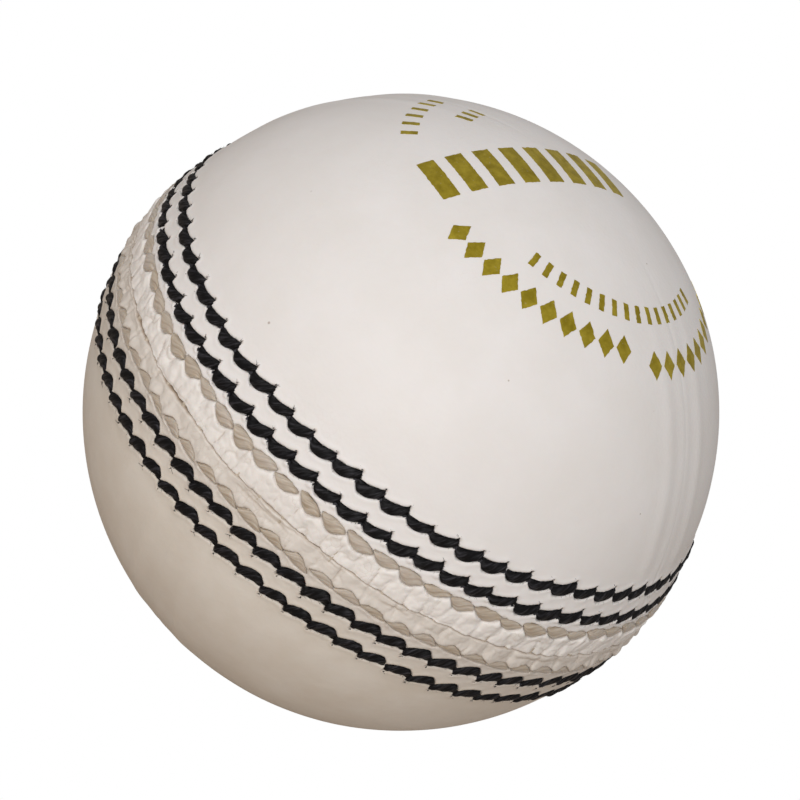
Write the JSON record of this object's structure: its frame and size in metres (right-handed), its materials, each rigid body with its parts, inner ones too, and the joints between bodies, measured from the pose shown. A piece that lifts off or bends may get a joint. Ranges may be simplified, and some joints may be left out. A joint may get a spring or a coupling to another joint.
{
  "type": "cricket ball",
  "caption": "Hard sports ball: a wound cork core in a four-piece leather cover, closed round the middle by raised rows of stitching.",
  "frame": {"origin": "middle of the ball", "axes": "+Z through the pole of the cup that carries the foil; the cups meet in the XY plane; the upper cup's quarter join is in the XZ plane and the lower cup's in the YZ plane"},
  "size_m": [0.0732, 0.0732, 0.0716],
  "materials": {
    "upper_leather": "white, lacquered, satin",
    "lower_leather": "warm white, lacquered, semi-gloss",
    "black_thread": "black twisted linen thread",
    "waxed_thread": "natural waxed linen thread",
    "foil": "stamped gold foil, satin",
    "lining": "undyed, flesh side",
    "cork": "ground cork, matt",
    "cork_rubber": "cork grains bound in rubber, matt",
    "twine": "wound worsted twine"
  },
  "bodies": {
    "root": {"cork_rubber_nucleus": "cork_rubber", "inner_twine_winding": "twine", "inner_cork_layer": "cork", "middle_twine_winding": "twine", "middle_cork_layer": "cork", "outer_twine_winding": "twine", "outer_cork_layer": "cork", "upper_cup_lining": "lining", "lower_cup_lining": "lining", "upper_leather_quarter_a": "upper_leather", "upper_leather_quarter_b": "upper_leather", "lower_leather_quarter_a": "lower_leather", "lower_leather_quarter_b": "lower_leather", "upper_quarter_join_thread": "waxed_thread", "lower_quarter_join_thread": "waxed_thread", "upper_closing_stitches": "waxed_thread", "lower_closing_stitches": "waxed_thread", "closing_thread_passes": "waxed_thread", "upper_inner_black_stitches": "black_thread", "upper_outer_black_stitches": "black_thread", "lower_inner_black_stitches": "black_thread", "lower_outer_black_stitches": "black_thread", "upper_inner_row_inside_thread": "black_thread", "upper_outer_row_inside_thread": "black_thread", "lower_inner_row_inside_thread": "black_thread", "lower_outer_row_inside_thread": "black_thread", "foil_mark": "foil"}
  },
  "joints": []
}
